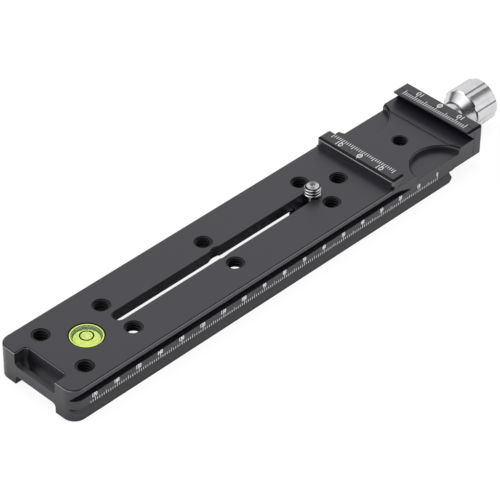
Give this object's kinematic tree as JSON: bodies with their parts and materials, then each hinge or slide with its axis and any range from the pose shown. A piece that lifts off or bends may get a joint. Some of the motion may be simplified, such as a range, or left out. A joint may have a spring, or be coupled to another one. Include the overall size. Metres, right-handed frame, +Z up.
{
  "type": "nodal slide rail",
  "caption": "Long dovetailed camera rail with a slotted camera face, captive camera screw, bubble level, side scale, and a screw-knob dovetail clamp at one end.",
  "frame": {"origin": "on the underside, on the axis of the tapped hole in the middle of the clamp bed", "axes": "+X along the rail towards the knob, +Y across the rail, +Z up out of the camera face"},
  "size_m": [0.2257, 0.038, 0.0176],
  "materials": {
    "black_anodised": "matt black anodised",
    "silver_anodised": "clear anodised, turned",
    "steel": "plain stainless steel",
    "black_steel": "black oxide",
    "black_rubber": "matt black sealing ring",
    "lime_plastic": "lime green moulded plastic",
    "clear_acrylic": "clear polished acrylic",
    "green_spirit": "dyed spirit",
    "air_bubble": "air"
  },
  "bodies": {
    "rail": {"rail_body": "black_anodised", "jaw_spring_left": "steel", "jaw_spring_right": "steel", "level_ring": "black_rubber", "level_cup": "lime_plastic", "level_vial": "clear_acrylic", "level_cover": "clear_acrylic", "level_liquid": "green_spirit", "level_bubble": "air_bubble"},
    "jaw": {"moving_jaw": "black_anodised", "guide_pin_left": "steel", "guide_pin_right": "steel", "thrust_washer": "steel"},
    "clamp_knob": {"knob": "silver_anodised", "knob_collar": "silver_anodised", "clamp_screw": "steel", "knob_grub_screw": "black_steel"},
    "slider": {"screw_washer": "steel"},
    "camera_bolt": {"camera_screw": "steel"},
    "finger_ring": {"d_ring": "steel"}
  },
  "joints": [
    {"name": "jaw_slide", "type": "slide", "parent": "rail", "child": "jaw", "axis": [1, 0, 0], "range_m": [0, 0.005], "deforming": ["jaw_spring_left", "jaw_spring_right"]},
    {"name": "knob_turn", "type": "hinge", "parent": "jaw", "child": "clamp_knob", "pos_m": [0, 0, 0.009], "axis": [1, 0, 0], "range_deg": [0, 2250]},
    {"name": "screw_slide", "type": "slide", "parent": "rail", "child": "slider", "axis": [-1, 0, 0], "range_m": [0, 0.095]},
    {"name": "screw_turn", "type": "hinge", "parent": "slider", "child": "camera_bolt", "pos_m": [-0.0464, 0, 0.0135], "axis": [0, 0, 1], "continuous": true},
    {"name": "ring_fold", "type": "hinge", "parent": "camera_bolt", "child": "finger_ring", "pos_m": [-0.0464, 0, 0.0046], "axis": [0, -1, 0], "range_deg": [0, 180]}
  ],
  "couplings": [
    {"joint": "knob_turn", "follows": "jaw_slide", "rad_per_m": 7854}
  ]
}
